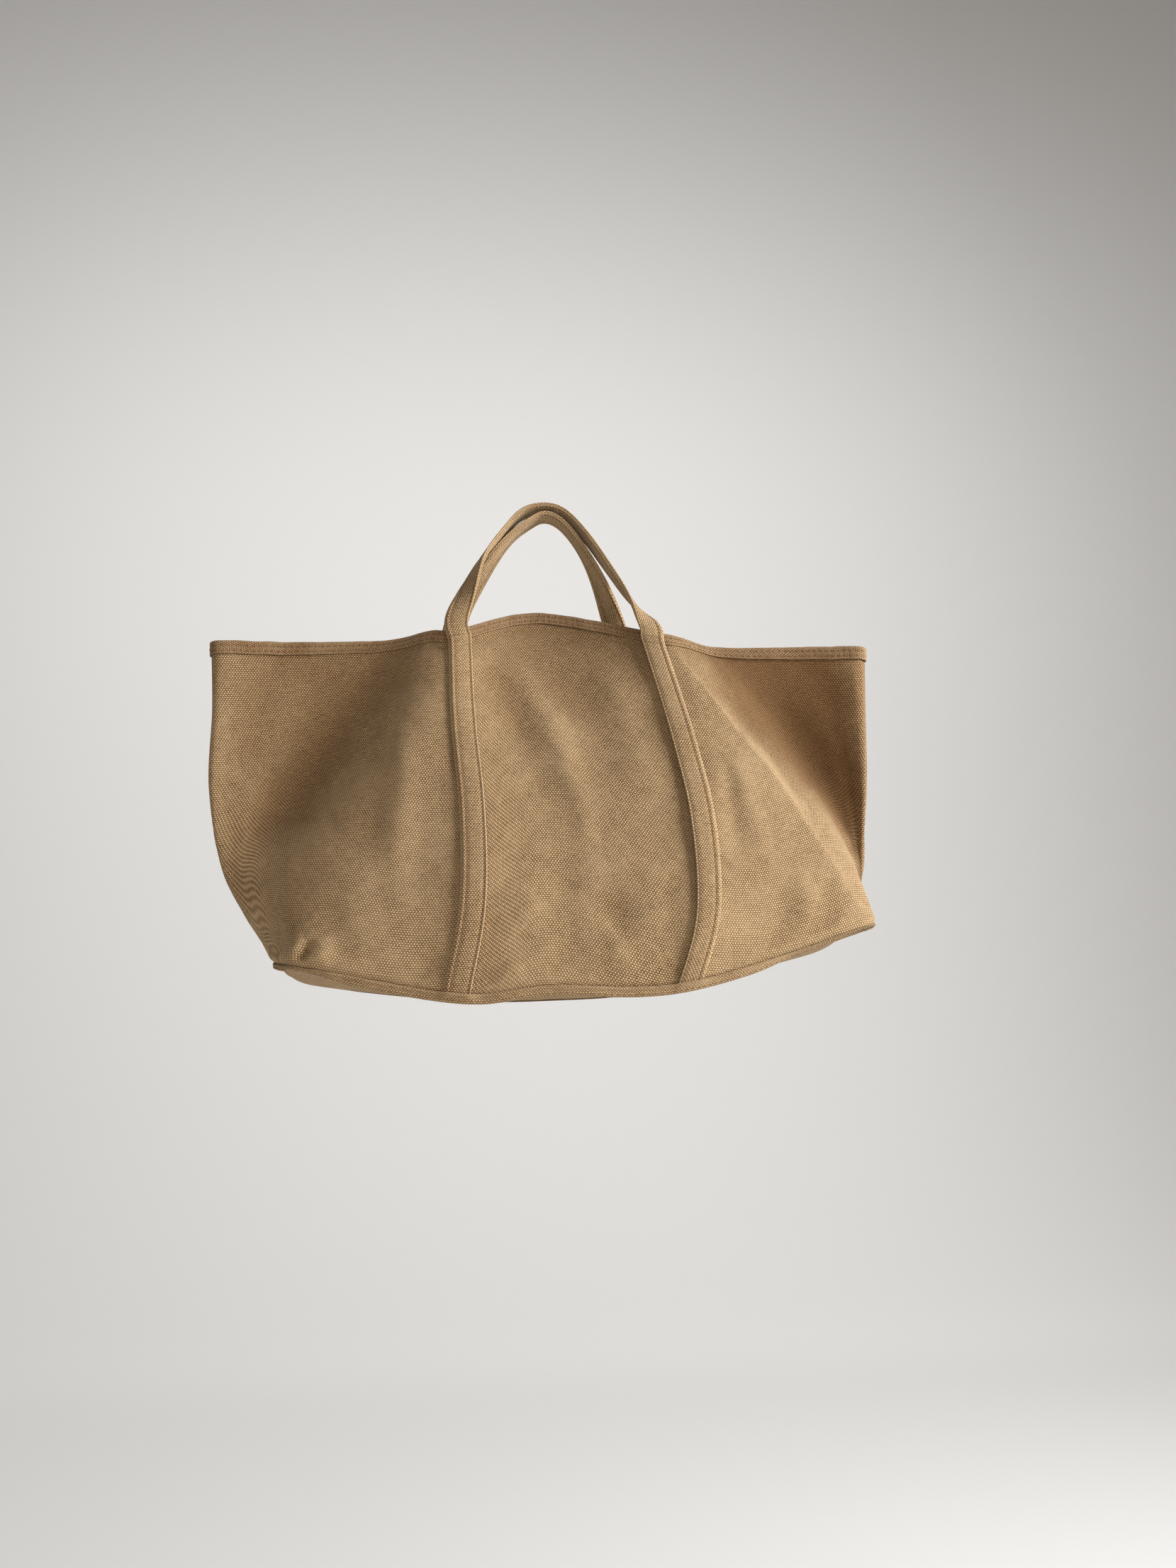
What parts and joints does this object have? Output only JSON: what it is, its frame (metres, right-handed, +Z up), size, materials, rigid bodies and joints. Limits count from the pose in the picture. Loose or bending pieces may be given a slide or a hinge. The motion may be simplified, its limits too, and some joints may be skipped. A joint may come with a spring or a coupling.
{
  "type": "canvas beach bag",
  "caption": "Large soft canvas beach bag hanging by its handles, with a bound rim, boxed base, straps sewn down both sides and two folding handles.",
  "frame": {"origin": "top of the support under the handles, where the bag hangs", "axes": "+X along the mouth to the right, +Y towards the wall behind the bag, +Z up"},
  "size_m": [0.5857, 0.1425, 0.4597],
  "materials": {
    "canvas": "heavy plain-weave cotton canvas, khaki brown, washed and creased",
    "tape": "folded canvas tape with two stitch rows",
    "strap": "folded canvas webbing, stitched along both edges",
    "thread": "brown sewing thread"
  },
  "bodies": {
    "bag": {"front_panel": "canvas", "back_panel": "canvas", "bottom_panel": "canvas", "rim_binding_front": "tape", "rim_binding_back": "tape", "front_strap_left": "strap", "front_strap_right": "strap", "back_strap_left": "strap", "back_strap_right": "strap", "front_strap_tack_left": "thread", "front_strap_tack_right": "thread", "back_strap_tack_left": "thread", "back_strap_tack_right": "thread", "side_seam_left": "canvas", "side_seam_right": "canvas", "base_seam_front": "canvas", "base_seam_back": "canvas", "bottom_welt_front": "canvas", "bottom_welt_back": "canvas", "bottom_welt_left": "canvas", "bottom_welt_right": "canvas"},
    "front_handle": {"front_handle": "strap"},
    "back_handle": {"back_handle": "strap"}
  },
  "joints": [
    {"name": "front_handle_fold", "type": "hinge", "parent": "bag", "child": "front_handle", "pos_m": [0, -0.03638, -0.12344], "axis": [1, 0, 0], "range_deg": [0, 140]},
    {"name": "back_handle_fold", "type": "hinge", "parent": "bag", "child": "back_handle", "pos_m": [0, 0.02674, -0.12483], "axis": [-1, 0, 0], "range_deg": [0, 165]}
  ]
}
